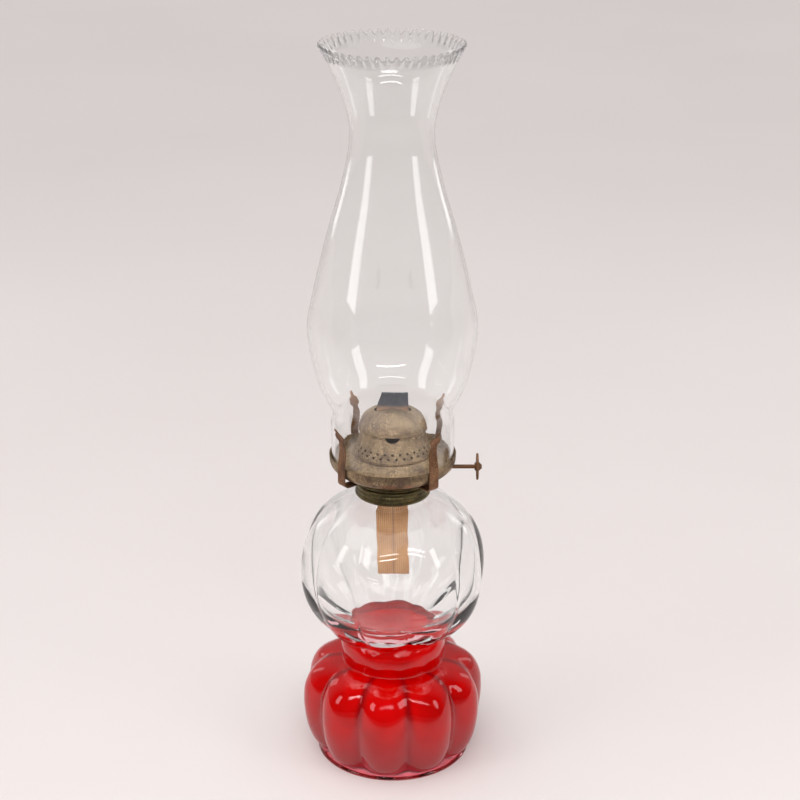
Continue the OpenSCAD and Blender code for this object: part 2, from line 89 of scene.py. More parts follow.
class Signal:
    """A node socket that takes part in sums, so that shader maths reads as Python."""

    def __init__(self, tree: bpy.types.NodeTree, socket: Socket) -> None:
        """Wraps a socket.

        Args:
            tree: the tree that holds the socket.
            socket: the output to wrap.
        """
        self.tree = tree
        self.socket = socket

    def _math(self, operation: str, first: "Signal | float", second: "Signal | float") -> "Signal":
        """Adds a Math node and returns its output."""
        node = self.tree.nodes.new("ShaderNodeMath")
        node.operation = operation
        for entry, value in zip(node.inputs, (first, second)):
            if isinstance(value, Signal):
                self.tree.links.new(value.socket, entry)
            else:
                entry.default_value = value
        return Signal(self.tree, node.outputs[0])

    def __add__(self, other: "Signal | float") -> "Signal":
        """Sum."""
        return self._math("ADD", self, other)

    __radd__ = __add__

    def __mul__(self, other: "Signal | float") -> "Signal":
        """Product."""
        return self._math("MULTIPLY", self, other)

    __rmul__ = __mul__

    def __sub__(self, other: "Signal | float") -> "Signal":
        """Difference."""
        return self._math("SUBTRACT", self, other)

    def __rsub__(self, other: float) -> "Signal":
        """Difference from a number."""
        return self._math("SUBTRACT", other, self)

    def least(self, other: "Signal | float") -> "Signal":
        """The smaller of two values."""
        return self._math("MINIMUM", self, other)

    def most(self, other: "Signal | float") -> "Signal":
        """The larger of two values."""
        return self._math("MAXIMUM", self, other)

    def size(self) -> "Signal":
        """The value without its sign."""
        return self._math("ABSOLUTE", self, 0.0)

    def wave(self) -> "Signal":
        """The sine."""
        return self._math("SINE", self, 0.0)

    def between(self, low: float, high: float) -> "Signal":
        """0 at low, 1 at high, and a straight ramp between them."""
        return ((self - low) * (1.0 / (high - low))).most(0.0).least(1.0)


def reflected(tree: bpy.types.NodeTree) -> Signal:
    """1 for a ray that was mirrored by a surface, and 0 for one that was seen, scattered or passed through.

    Args:
        tree: the tree that asks.

    Returns:
        The factor.
    """
    path = tree.nodes.new("ShaderNodeLightPath")
    return Signal(tree, path.outputs["Is Glossy Ray"]) * (1.0 - Signal(tree, path.outputs["Is Transmission Ray"]))


class Dresser:
    """Builds one node material."""

    def __init__(self, name: str) -> None:
        """Starts a material with a Principled shader.

        Args:
            name: the material's name.
        """
        self.material = bpy.data.materials.new(name)
        self.material.use_nodes = True
        self.tree = self.material.node_tree
        self.tree.nodes.clear()
        self.output = self.tree.nodes.new("ShaderNodeOutputMaterial")
        self.shader = self.tree.nodes.new("ShaderNodeBsdfPrincipled")
        self.tree.links.new(self.shader.outputs[0], self.output.inputs["Surface"])

    def node(self, kind: str, settings: dict | None = None, sockets: dict | None = None) -> bpy.types.Node:
        """Adds a node.

        Args:
            kind: the node's type.
            settings: its properties, and "stops" for a ramp's (place, colour) pairs.
            sockets: values, Signals or sockets for its inputs, by name or number.

        Returns:
            The node.
        """
        made = self.tree.nodes.new(kind)
        for key, value in (settings or {}).items():
            if key == "stops":
                self._set_stops(made.color_ramp, value)
            else:
                setattr(made, key, value)
        for key, value in (sockets or {}).items():
            self.feed(made.inputs[key], value)
        return made

    @staticmethod
    def _set_stops(ramp: bpy.types.ColorRamp, stops: Sequence[tuple[float, tuple]]) -> None:
        """Gives a ramp its stops."""
        while len(ramp.elements) < len(stops):
            ramp.elements.new(0.5)
        for element, (place, colour) in zip(ramp.elements, stops):
            element.position = place
            element.color = (*colour, 1.0)

    def feed(self, entry: Socket, value: object) -> None:
        """Links or sets one input."""
        if isinstance(value, Signal):
            self.tree.links.new(value.socket, entry)
        elif isinstance(value, Socket):
            self.tree.links.new(value, entry)
        else:
            entry.default_value = value

    def set(self, **values: object) -> None:
        """Sets the Principled shader's inputs, with _ for a space in a name."""
        for key, value in values.items():
            self.feed(self.shader.inputs[key.replace("_", " ")], value)

    def place(self) -> Socket:
        """The piece's own coordinates, in metres."""
        return self.node("ShaderNodeTexCoord").outputs["Object"]

    def axes(self) -> tuple[Signal, Signal, Signal]:
        """The piece's own coordinates as three values."""
        split = self.node("ShaderNodeSeparateXYZ", sockets={"Vector": self.place()})
        return tuple(Signal(self.tree, s) for s in split.outputs)

    def cloud(self, scale: float, detail: float = 4.0, rough: float = 0.55,
              stretch: tuple[float, float, float] = (1, 1, 1)) -> Signal:
        """Soft noise.

        Args:
            scale: lumps to a metre.
            detail: how many octaves.
            rough: how strong the fine octaves are.
            stretch: scale of each axis.

        Returns:
            Noise from 0 to 1.
        """
        turned = self.node("ShaderNodeMapping", sockets={"Vector": self.place(), "Scale": stretch})
        made = self.node("ShaderNodeTexNoise", sockets={
            "Vector": turned.outputs[0], "Scale": scale, "Detail": detail, "Roughness": rough})
        return Signal(self.tree, made.outputs[0])

    def cells(self, scale: float) -> Signal:
        """Distance to the nearest of many scattered points, in cells."""
        made = self.node("ShaderNodeTexVoronoi", sockets={"Vector": self.place(), "Scale": scale})
        return Signal(self.tree, made.outputs["Distance"])

    def ramp(self, factor: Signal, *stops: tuple[float, tuple]) -> Socket:
        """A colour ramp over a value."""
        return self.node("ShaderNodeValToRGB", {"stops": stops}, {0: factor}).outputs[0]

    def blend(self, factor: Signal, first: object, second: object) -> Socket:
        """A mix of two colours."""
        made = self.node("ShaderNodeMix", {"data_type": "RGBA"})
        self.feed(made.inputs[0], factor)
        self.feed(made.inputs[6], first)
        self.feed(made.inputs[7], second)
        return made.outputs[2]

    def bump(self, height: Signal, depth: float, strength: float = 1.0) -> None:
        """Feeds the shader's normal from a height.

        Args:
            height: the height, from 0 to 1.
            depth: metres that a height of 1 stands out.
            strength: how much of it shows.
        """
        made = self.node("ShaderNodeBump", sockets={
            "Height": height, "Distance": depth, "Strength": strength})
        self.set(Normal=made.outputs[0])


# ---------- finishes ----------


@dataclass(frozen=True)
class Glass:
    """Clear glass that lets the lamps light what stands behind it."""

    name: str
    tint: Colour = (0.985, 0.992, 0.99)
    shade: Colour = (0.95, 0.95, 0.95)
    index: float = 1.5
    film: float = 0.03
    ripple: float = 0.0
    blush: Colour = (0.93, 0.34, 0.4)
    blush_to: float = 0.0
    blush_fade: float = 1.5 * MM
    veil: float = 0.0
    veil_from: float = 0.0
    veil_fade: float = 6.0 * MM

    def material(self) -> Material:
        """Makes the material, with a film of dust, ripples, a red blush up to a level, and a veil above one.

        The veil is a share of light that passes straight through, so that thick edges don't look black.
        """
        d = Dresser(self.name)
        film = d.cloud(45.0, 3.0).between(0.45, 0.75)
        d.set(Base_Color=(*self.tint, 1), Transmission_Weight=1.0, IOR=self.index, Roughness=film * self.film)
        _, _, z = d.axes()
        if self.blush_to:
            above = z.between(self.blush_to - self.blush_fade, self.blush_to)
            d.set(Base_Color=d.blend(above, (*self.blush, 1), (*self.tint, 1)))
        if self.ripple:
            d.bump(d.cloud(28.0, 2.0), self.ripple)
        clear = d.node("ShaderNodeBsdfTransparent", sockets={"Color": (*self.shade, 1)})
        straight = Signal(d.tree, d.node("ShaderNodeLightPath").outputs["Is Shadow Ray"])
        if self.veil:
            straight = straight.most(z.between(self.veil_from, self.veil_from + self.veil_fade) * self.veil)
        mixed = d.node("ShaderNodeMixShader", sockets={0: straight, 1: d.shader.outputs[0], 2: clear.outputs[0]})
        d.feed(d.output.inputs["Surface"], mixed.outputs[0])
        return d.material


@dataclass(frozen=True)
class Enamel:
    """The red coat inside the foot, with painted light that makes it paler towards the bottom of each lobe and
    painted shade in the grooves between the lobes.
    """

    level: float
    name: str = "foot_red"
    light: Colour = (0.5, 0.0, 0.0)
    dark: Colour = (0.33, 0.0, 0.0)
    painted_pale_red: Colour = (0.42, 0.04, 0.045)
    painted_groove_shade: Colour = (0.16, 0.0, 0.003)

    def material(self) -> Material:
        """Makes the material from the height and from the place across a lobe."""
        d = Dresser(self.name)
        uneven = d.cloud(38.0, 3.0)
        _, _, z = d.axes()
        across = Signal(d.tree, d.node("ShaderNodeAttribute", {"attribute_name": "across"}).outputs["Fac"])
        # painted light: the red turns paler low on each lobe, where light from the pale floor shows through the
        # glass
        edge = across * across * 0.22 + (uneven - 0.5) * 0.12 + 0.3
        low = 1.0 - (z * (1.0 / self.level) - edge).between(-0.05, 0.07)
        red = d.ramp(uneven, (0.3, self.dark), (0.6, self.light))
        # painted shade: the red darkens towards black in the grooves between the lobes
        red = d.blend(across.between(0.62, 1.0) * 0.8, red, (*self.painted_groove_shade, 1))
        d.set(Base_Color=d.blend(low * 0.75, red, (*self.painted_pale_red, 1)),
              Roughness=uneven.between(0.2, 0.8) * 0.2 + 0.4, Specular_IOR_Level=0.0)
        return d.material


@dataclass(frozen=True)
class Brass:
    """Old brass: polish left on the high spots, tarnish and grime elsewhere, and painted glints of brighter colour.
    """

    name: str
    bright: Colour
    dull: Colour
    grime: Colour
    shine: float = 0.34
    matt: float = 0.62
    pits: float = 0.00006
    metal: float = 0.9

    def material(self) -> Material:
        """Makes the material."""
        d = Dresser(self.name)
        broad = d.cloud(95.0, 5.0, 0.65)
        fine = d.cloud(700.0, 4.0, 0.7)
        drips = d.cloud(150.0, 4.0, 0.65, (1.0, 1.0, 0.35))
        specks = 1.0 - d.cells(1300.0).between(0.14, 0.4)
        tarnish = (broad * 0.65 + fine * 0.35).between(0.36, 0.62)
        soil = drips.between(0.52, 0.7)
        colour = d.blend(tarnish, (*self.bright, 1), (*self.dull, 1))
        colour = d.blend(soil * 0.75, colour, (*self.grime, 1))
        # painted glints: scattered specks brightened in the base colour stand in for light sparkling on pitted brass
        painted_glints = specks * d.cloud(160.0, 2.0).between(0.5, 0.6)
        colour = d.blend(painted_glints * 0.8, colour, (*[min(1.0, 2.1 * c) for c in self.bright], 1))
        worn = tarnish * (self.matt - self.shine) + self.shine
        d.set(Base_Color=colour, Roughness=(worn + soil * 0.14 - painted_glints * 0.2).most(0.12),
              Metallic=self.metal - soil * 0.45)
        d.bump(fine * 0.5 + specks * 0.35 + broad * 0.15, self.pits)
        return d.material


@dataclass(frozen=True)
class Cotton:
    """Woven wick, soaked brown below and charred at the burning end."""

    char_from: float
    char_to: float
    name: str = "wick_cotton"
    yarn: float = 0.00105

    def material(self) -> Material:
        """Makes the material from the weave's two sets of yarns."""
        d = Dresser(self.name)
        x, _, z = d.axes()
        turn = 2 * math.pi
        warp = (x * (turn / self.yarn)).wave() * 0.5 + 0.5
        weft = (z * (turn / (self.yarn * 0.8)) + (x * (math.pi / self.yarn)).wave() * 1.6).wave() * 0.5 + 0.5
        weave = warp * 0.55 + weft * 0.45
        stain = d.cloud(90.0, 4.0, 0.6)
        fibre = d.cloud(1800.0, 3.0, 0.7)
        cloth = d.ramp(stain * 0.6 + fibre * 0.4, (0.3, (0.36, 0.17, 0.075)), (0.7, (0.58, 0.34, 0.17)))
        # painted shade: the recesses between the yarns are darkened in the colour
        painted_gap_shade = (1.0 - weave).between(0.35, 1.0)
        cloth = d.blend(painted_gap_shade * 0.45, cloth, (0.14, 0.062, 0.025, 1))
        stripe = 1.0 - x.size().between(0.0003, 0.0008)
        cloth = d.blend(stripe * 0.35, cloth, (0.07, 0.045, 0.06, 1))
        coal = d.ramp(fibre, (0.3, (0.011, 0.012, 0.017)), (0.75, (0.055, 0.06, 0.078)))
        burnt = (z + (stain - 0.5) * 0.004).between(self.char_from, self.char_to)
        d.set(Base_Color=d.blend(burnt, cloth, coal), Roughness=fibre * 0.1 + 0.86, Sheen_Weight=0.12)
        d.bump(weave * 0.75 + fibre * 0.25, 0.00022)
        return d.material


@dataclass(frozen=True)
class Plaster:
    """Old cream plaster with brown stains."""

    name: str = "collar_cement"

    def material(self) -> Material:
        """Makes the material."""
        d = Dresser(self.name)
        stain = d.cloud(160.0, 5.0, 0.65)
        grit = d.cloud(1400.0, 3.0, 0.6)
        d.set(Base_Color=d.ramp(stain, (0.32, (0.42, 0.29, 0.16)), (0.6, (0.78, 0.7, 0.58))),
              Roughness=grit * 0.1 + 0.82)
        d.bump(grit * 0.6 + stain * 0.4, 0.00025)
        return d.material


@dataclass(frozen=True)
class Paper:
    """The pale paper that the lamp stands on."""

    name: str = "pale_paper"

    def material(self) -> Material:
        """Makes the material, with very faint clouds and grain, and a painted dark reflection: the paper on the
        camera's side turns nearly black where a mirror sees it.
        """
        d = Dresser(self.name)
        broad = d.cloud(1.6, 3.0)
        grain = d.cloud(420.0, 3.0, 0.6)
        _, y, _ = d.axes()
        # painted reflection: for mirrored rays the paper on the camera's side is painted nearly black, standing in
        # for a dark room behind the camera
        far = reflected(d.tree) * (1.0 - y.between(-0.24, -0.1)) * 0.9
        paper = d.ramp(broad, (0.3, (0.79, 0.735, 0.725)), (0.7, (0.82, 0.77, 0.76)))
        d.set(Base_Color=d.blend(far, paper, (0.05, 0.045, 0.045, 1)), Roughness=grain * 0.12 + 0.55)
        d.bump(grain, 0.0001, 0.3)
        return d.material


# ---------- mesh helpers ----------


def curve(points: Sequence[tuple[float, ...]], steps: int) -> list[tuple[float, ...]]:
    """A smooth curve through points.

    Args:
        points: the points, each with any number of values.
        steps: pieces between each two points.

    Returns:
        The points along the curve.
    """
    last = len(points) - 1
    found = []
    for i in range(last):
        a, b, c, d = (points[max(i - 1, 0)], points[i], points[i + 1], points[min(i + 2, last)])
        for k in range(steps):
            t = k / steps
            found.append(tuple(
                0.5 * (2 * q + (r - p) * t + (2 * p - 5 * q + 4 * r - s) * t * t + (3 * q - p - 3 * r + s) * t ** 3)
                for p, q, r, s in zip(a, b, c, d)))
    return found + [tuple(points[last])]


def smooth(value: float, low: float, high: float) -> float:
    """0 below low, 1 above high, and an even rise between."""
    t = min(max((value - low) / (high - low), 0.0), 1.0)
    return t * t * (3 - 2 * t)


def turned(outline: Sequence[Sequence[float]], steps: int, closed: bool = False,
           along: Vector = Vector((0, 0, 1))) -> tuple[Mesh, bmesh.types.BMLayerItem]:
    """Spins an outline about an axis through the origin.

    Args:
        outline: radius and height of each point, and a third value that is kept in a layer.
        steps: segments round the axis.
        closed: whether the outline's last point joins its first.
        along: the axis, which heights run along.

    Returns:
        The mesh, and the layer with each point's third value.
    """
    mesh = bmesh.new()
    layer = mesh.verts.layers.float.new("extra")
    out = Vector((0, -1, 0))
    ring = []
    for point in outline:
        vert = mesh.verts.new(out * point[0] + along * point[1])
        vert[layer] = point[2] if len(point) > 2 else 0.0
        ring.append(vert)
    pairs = list(zip(ring, ring[1:])) + ([(ring[-1], ring[0])] if closed else [])
    edges = [mesh.edges.new(pair) for pair in pairs]
    bmesh.ops.spin(mesh, geom=ring + edges, cent=(0, 0, 0), axis=along, dvec=(0, 0, 0),
                   angle=2 * math.pi, steps=steps, use_merge=True)
    bmesh.ops.remove_doubles(mesh, verts=mesh.verts, dist=1e-7)
    bmesh.ops.recalc_face_normals(mesh, faces=mesh.faces)
    return mesh, layer


def rounded(path: Sequence[Point], thickness: float, steps: int = 4) -> list[Point]:
    """The closed outline of a sheet with round edges.

    Args:
        path: the middle of the sheet, as radius and height.
        thickness: the sheet's thickness.
        steps: segments of each round edge.

    Returns:
        The outline.
    """
    places = [Vector(p) for p in path]
    half = thickness / 2

    def side(index: int) -> Vector:
        """Sideways direction at a point, lengthened in corners."""
        before = (places[index] - places[index - 1]).normalized() if index else None
        after = (places[index + 1] - places[index]).normalized() if index < len(places) - 1 else None
        first, second = before or after, after or before
        middle = (first + second).normalized()
        reach = 1.0 / max(middle.dot(first), 0.6)
        return Vector((-middle.y, middle.x)) * reach * half

    left = [places[i] + side(i) for i in range(len(places))]
    right = [places[i] - side(i) for i in range(len(places))]

    def cap(centre: Vector, start: Vector) -> list[Vector]:
        """Points of a half turn about an end of the path."""
        return [centre + Matrix.Rotation(-math.pi * k / steps, 2) @ (start - centre) for k in range(1, steps)]

    whole = left + cap(places[-1], left[-1]) + right[::-1] + cap(places[0], right[0])
    return [(p.x, p.y) for p in whole]


def bake_modifiers(piece: Thing) -> None:
    """Applies a piece's modifiers to its mesh."""
    graph = bpy.context.evaluated_depsgraph_get()
    done = bpy.data.meshes.new_from_object(piece.evaluated_get(graph))
    piece.modifiers.clear()
    piece.data = done


def placed(name: str, data: bpy.types.ID) -> Thing:
    """Makes an object of some data and links it into the scene."""
    made = bpy.data.objects.new(name, data)
    bpy.context.scene.collection.objects.link(made)
    return made


def meshed(name: str, mesh: Mesh) -> Thing:
    """Makes an object of a shape, which this call frees."""
    data = bpy.data.meshes.new(name)
    mesh.to_mesh(data)
    mesh.free()
    return placed(name, data)


def thicken(piece: Thing, thickness: float, edge: float) -> None:
    """Gives a sheet its thickness and soft edges.

    Args:
        piece: the sheet, which lies in the middle of its thickness.
        thickness: how thick it becomes.
        edge: width of the soft edges.
    """
    solid = piece.modifiers.new("sheet", "SOLIDIFY")
    solid.thickness, solid.offset = thickness, 0.0
    soft = piece.modifiers.new("soft", "BEVEL")
    soft.width, soft.segments, soft.limit_method = edge, 2, "ANGLE"


@dataclass
class Piece:
    """One visible piece and what it belongs to."""

    name: str
    body: Body
    slot: Slot
    material: Material
    replaces: tuple[str, ...] = ()
    sharp: float = 40.0

    def add(self, mesh: Mesh, finish: Callable[[Thing], None] | None = None) -> None:
        """Makes the object.

        Args:
            mesh: the shape, which this call frees.
            finish: cuts the piece or adds modifiers, which are then applied.
        """
        made = meshed(self.name, mesh)
        if finish is not None:
            finish(made)
            bake_modifiers(made)
        made.data.name = self.name
        made.data.materials.clear()
        made.data.materials.append(self.material)
        made.data.shade_smooth()
        made.data.set_sharp_from_angle(angle=math.radians(self.sharp))
        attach(made, self.body.value)
        if self.replaces:
            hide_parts(*self.replaces)
        LOG.info("%s: %d faces", self.name, len(made.data.polygons))


def dress_node(node: str, material: Material) -> None:
    """Gives a CAD node a finish of its own."""
    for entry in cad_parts[node].material_slots:
        entry.link = "OBJECT"
        entry.material = material
    LOG.info("%s: dressed", node)


# ---------- glass body ----------


@dataclass
class GlassBody:
    """The foot and the font: lobed clear glass with a red coat inside the foot."""

    clear: Material
    red: Material
    lobes: int = 10
    first_lobe: float = math.radians(11.5)
    steps: int = 300
    foot_radius: float = 51.6 * MM
    foot_height: float = 57.2 * MM
    foot_ring: float = 43.4 * MM
    foot_groove: float = 5.0 * MM
    foot_wall: float = 4.6 * MM
    waist: float = 28.6 * MM
    font_radius: float = 51.75 * MM
    font_groove: float = 3.3 * MM
    font_wall: float = 1.8 * MM
    widest: float = 113.4 * MM
    power: float = 2.2
    neck_wall: float = 2.4 * MM
    neck_height: float = 7.2 * MM
    plaster_gap: float = 1.3 * MM
    floor_rise: float = 5.2 * MM
    coat: float = 0.3 * MM

    def __post_init__(self) -> None:
        """Takes the levels from the CAD pieces."""
        self.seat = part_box("glass_foot")[1][2]
        self.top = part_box("glass_font")[1][2]
        self.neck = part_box("collar_plaster")[1][0] - self.plaster_gap
        self.root = self.top - self.neck_height

    def foot_side(self, radius: float, ring: float, height: float, waist: float, groove: float) -> list[Rib]:
        """The lobed side of the foot, from its ring up to its waist."""
        return curve([
            (ring - 1.6 * MM, 2.6 * MM, groove * 0.3),
            (ring - 0.2 * MM, 3.9 * MM, groove * 0.75),
            (ring + 3.4 * MM, 8.6 * MM, groove * 1.05),
            (radius - 1.9 * MM, height * 0.29, groove),
            (radius - 0.35 * MM, height * 0.45, groove),
            (radius, height * 0.6, groove),
            (radius - 1.1 * MM, height * 0.75, groove),
            (radius - 5.6 * MM, height * 0.89, groove * 0.85),
            (waist + (radius - waist) * 0.4, height * 0.972, groove * 0.42),
            (waist + 1.2 * MM, height * 0.994, groove * 0.06),
            (waist, height * 1.012, 0.0),
        ], 5)

    def font_side(self, radius: float, power: float, low: tuple[float, float], high: tuple[float, float],
                  groove: float, count: int) -> list[Rib]:
        """A lobed side of the font between two points.

        Args:
            radius: radius at the widest level.
            power: squareness of the section.
            low: radius and height where it starts.
            high: radius and height where it ends.
            groove: depth of the grooves.
            count: how many pieces the side has.

        Returns:
            The points, upwards.
        """
        start = math.asin(min((low[0] / radius) ** (power / 2), 1.0))
        end = math.pi - math.asin((high[0] / radius) ** (power / 2))
        under = (self.widest - low[1]) / math.cos(start) ** (2 / power)
        over = (high[1] - self.widest) / abs(math.cos(end)) ** (2 / power)
        found = []
        for k in range(count + 1):
            angle = start + (end - start) * k / count
            rise = abs(math.cos(angle)) ** (2 / power)
            below = angle < math.pi / 2
            level = self.widest - under * rise if below else self.widest + over * rise
            share = math.sin(angle) ** (0.7 if below else 2.2)
            found.append((radius * math.sin(angle) ** (2 / power), level, groove * share))
        return found

    def cavity(self, grow: float) -> list[Rib]:
        """The hollow under the foot, from its roof down, moved out into the glass by grow."""
        wall = self.foot_wall - grow
        roof = self.seat - wall
        waist = self.waist - wall
        side = self.foot_side(self.foot_radius - wall, self.foot_ring - wall, self.foot_height - wall, waist,
                              self.foot_groove * 0.6)
        side = [p for p in side if p[1] > 3.4 * MM]
        return [(0.0, roof, 0.0), (waist - 5 * MM, roof - 0.2 * MM, 0.0), (waist - 1.6 * MM, roof - 1.0 * MM, 0.0),
                (waist, roof - 3.4 * MM, 0.0)] + side[::-1]

    def outline(self) -> list[Rib]:
        """The whole section of the glass, from the hollow's roof round to the font's floor."""
        ring = self.foot_ring
        mouth = ring - self.foot_wall - 1.2 * MM
        hollow = self.cavity(0.0) + [(mouth, 2.2 * MM, 0.2 * MM), (mouth + 0.3 * MM, 0.5 * MM, 0.0),
                                     (mouth + 1.0 * MM, 0.0, 0.0)]
        edge = [(ring - 1.0 * MM, 0.0, 0.0), (ring - 0.3 * MM, 0.3 * MM, 0.0), (ring, 0.9 * MM, 0.0),
                (ring - 0.1 * MM, 1.6 * MM, 0.0), (ring - 0.8 * MM, 2.2 * MM, 0.1 * MM)]
        outside = self.foot_side(self.foot_radius, ring, self.foot_height, self.waist, self.foot_groove)
        neck_low, neck_high = self.foot_height * 1.012, self.seat
        band = [(self.waist + 0.8 * MM * math.sin(math.pi * t) - 0.9 * MM * t ** 6,
                 neck_low + (neck_high - neck_low) * t, self.font_groove * 0.5 * t ** 8)
                for t in (k / 10 for k in range(1, 10))]
        pad = (self.waist - 1.0 * MM, self.seat)
        font = self.font_side(self.font_radius, self.power, pad, (self.neck + 2 * MM, self.root),
                              self.font_groove, 44)
        lip = [(self.neck + 0.6 * MM, self.root + 0.3 * MM, 0.0), (self.neck, self.root + 0.9 * MM, 0.0),
               (self.neck, self.top - 0.6 * MM, 0.0), (self.neck - 0.6 * MM, self.top, 0.0),
               (self.neck - self.neck_wall + 0.6 * MM, self.top, 0.0),
               (self.neck - self.neck_wall, self.top - 0.6 * MM, 0.0),
               (self.neck - self.neck_wall, self.root - 0.6 * MM, 0.0)]
        inner_low = (4.0 * MM, self.seat + self.floor_rise)
        inner_high = (self.neck - self.neck_wall + 1.6 * MM, self.root - self.font_wall)
        inside = self.font_side(self.font_radius - self.font_wall, self.power + 0.2, inner_low, inner_high,
                                self.font_groove * 0.88, 36)
        return hollow + edge + outside + band + font + lip + inside[::-1] + [(0.0, inner_low[1], 0.0)]

    def grooved(self, mesh: Mesh, layer: bmesh.types.BMLayerItem) -> Mesh:
        """Presses the grooves between the lobes into a turned mesh."""
        round_off = 0.1  # keeps the bottom of a groove from being a sharp crease
        across = mesh.verts.layers.float.new("across")
        for vert in mesh.verts:
            depth = vert[layer]
            reach = math.hypot(vert.co.x, vert.co.y)
            if depth and reach > 1e-6:
                turn = math.atan2(vert.co.y, vert.co.x) - self.first_lobe
                crest = math.hypot(math.cos(self.lobes * turn / 2), round_off)
                share = 1 - (crest - round_off) / (math.hypot(1, round_off) - round_off)
                vert[across] = share
                pull = (reach - depth * share) / reach
                vert.co.x *= pull
                vert.co.y *= pull
        return mesh

    def build(self) -> None:
        """Makes the glass and the coat."""
        glass = self.grooved(*turned(self.outline(), self.steps))
        Piece("glass_body", Body.BASE, Slot.CLEAR_GLASS, self.clear, ("glass_foot", "glass_font"), 60).add(glass)
        outer = self.cavity(self.coat)
        inner = self.cavity(-self.coat)[::-1]
        coat = self.grooved(*turned(outer + inner, self.steps // 2))
        Piece("foot_coat", Body.BASE, Slot.RED_GLASS, self.red, (), 60).add(coat)


# ---------- chimney ----------


@dataclass
class Chimney:
    """The blown chimney with its crimped top."""

    glass: Material
    foot: float = 33.4 * MM
    bulb: float = 45.4 * MM
    throat: float = 22.0 * MM
    crown: float = 37.8 * MM
    wall: float = 1.7 * MM
    points: int = 48
    cut: float = 3.4 * MM
    crimped: float = 7.0 * MM
    steps: int = 384

    def __post_init__(self) -> None:
        """Takes the levels from the CAD chimney."""
        low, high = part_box("chimney")
        self.low = low[2]
        self.high = high[2] - self.wall / 2 - 0.1 * MM

    def outside(self) -> list[Point]:
        """The outer side, from the foot up."""
        height = self.high - self.low
        flare = self.crown - self.throat
        swell = self.bulb - self.throat
        pinch = self.foot - 0.7 * MM
        shape = [
            (self.foot, 0.0), (self.foot, 0.05), (self.foot, 0.095), (pinch, 0.13),
            (self.bulb - (self.bulb - pinch) * 0.4, 0.205), (self.bulb, 0.325),
            (self.bulb - swell * 0.13, 0.415), (self.throat + swell * 0.53, 0.56),
            (self.throat + swell * 0.17, 0.69), (self.throat, 0.795), (self.throat + flare * 0.21, 0.88),
            (self.throat + flare * 0.62, 0.95), (self.throat + flare * 0.8, 0.975), (self.crown, 1.0),
        ]
        return curve([(r, self.low + h * height) for r, h in shape], 6)

    def build(self) -> None:
        """Makes the chimney and crimps its top."""
        half = self.wall / 2
        middle = [(r - half, z) for r, z in self.outside()]
        middle[0] = (middle[0][0], self.low + half)
        mesh, _ = turned(rounded(middle, self.wall), self.steps, closed=True)
        lean = Vector((0.75, 1.0)).normalized()
        for vert in mesh.verts:
            share = smooth(vert.co.z, self.high - self.crimped, self.high)
            if share > 0:
                turn = math.atan2(vert.co.y, vert.co.x)
                gap = (0.5 + 0.5 * math.cos(self.points * turn)) ** 1.6
                radius = math.hypot(vert.co.x, vert.co.y)
                drop = self.cut * gap * share
                pull = (radius - drop * lean.x) / radius
                vert.co = Vector((vert.co.x * pull, vert.co.y * pull, vert.co.z - drop * lean.y))
        Piece("crimped_chimney", Body.CHIMNEY, Slot.CLEAR_GLASS, self.glass, ("chimney",), 60).add(mesh)


# ---------- collar and burner ----------


@dataclass
class Collar:
    """The brass collar, its plaster and the burner's screw ring."""

    dark: Material
    cement: Material
    bore: float = 14.95 * MM
    flange: float = 4.7 * MM
    thread: float = 13.7 * MM
    pitch: float = 1.8 * MM
    steps: int = 128

    def build(self) -> None:
        """Makes the three rings."""
        low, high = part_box("lamp_collar")
        reach = high[0]
        bottom, top = low[2], high[2]
        wall = 0.7 * MM
        path = [(reach - 0.8 * MM, bottom + 0.5 * MM), (reach - 0.35 * MM, bottom + 0.9 * MM),
                (reach - 0.4 * MM, bottom + 1.7 * MM), (reach - 1.0 * MM, bottom + 2.2 * MM),
                (reach - 1.1 * MM, bottom + 3.4 * MM), (reach - 0.7 * MM, bottom + 3.9 * MM),
                (reach - 0.7 * MM, bottom + 4.5 * MM), (reach - 1.1 * MM, bottom + 5.0 * MM),
                (reach - 1.1 * MM, top - 1.3 * MM), (reach - 1.6 * MM, top - 0.5 * MM),
                (reach - 2.6 * MM, top - 0.35 * MM), (self.bore + 0.65 * MM, top - 0.35 * MM),
                (self.bore, top - 0.9 * MM), (self.bore, top - 6.9 * MM)]
        mesh, _ = turned(rounded(curve(path, 2), wall), self.steps, closed=True)
        Piece("rolled_collar", Body.BASE, Slot.DARK_BRASS, self.dark, ("lamp_collar",)).add(mesh)
        self.plaster()
        self.screw()

    def plaster(self) -> None:
        """Makes the plaster, which shows as an uneven cream edge under the collar."""
        low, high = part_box("collar_plaster")
        inner, outer = high[0] - 1.25 * MM, high[0] - 0.05 * MM
        path = [(inner, low[2]), (outer - 0.3 * MM, low[2]), (outer, low[2] + 0.4 * MM), (outer, high[2]),
                (inner, high[2])]
        mesh, _ = turned(path, self.steps, closed=True)
        for vert in mesh.verts:
            if vert.co.z < low[2] + 0.5 * MM:
                vert.co.z += 0.35 * MM * noise.noise(vert.co * 400)
        Piece("collar_bedding", Body.BASE, Slot.PLASTER, self.cement, ("collar_plaster",)).add(mesh)

    def screw(self) -> None:
        """Makes the screw ring with its ridged flange and rounded thread."""
        low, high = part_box("burner_screw")
        reach, top = high[0], high[2]
        flange = top - self.flange
        ridges = []
        for k in range(25):
            t = k / 24
            ridges.append((reach - 0.75 * MM + 0.5 * MM * abs(math.sin(3 * math.pi * t)) ** 0.7,
                           flange + 0.35 * MM + (self.flange - 0.7 * MM) * t))
        wall = [(self.thread - 0.35 * MM + 0.28 * MM * math.cos(2 * math.pi * k / 8),
                 low[2] + 0.4 * MM + k * self.pitch / 8) for k in range(29)]
        path = (wall + [(self.thread - 0.2 * MM, flange + 0.3 * MM)] + ridges
                + [(self.thread + 0.6 * MM, top - 0.3 * MM)])
        mesh, _ = turned(rounded(path, 0.5 * MM), self.steps, closed=True)
        Piece("screw_ring", Body.RING, Slot.DARK_BRASS, self.dark, ("burner_screw",)).add(mesh)


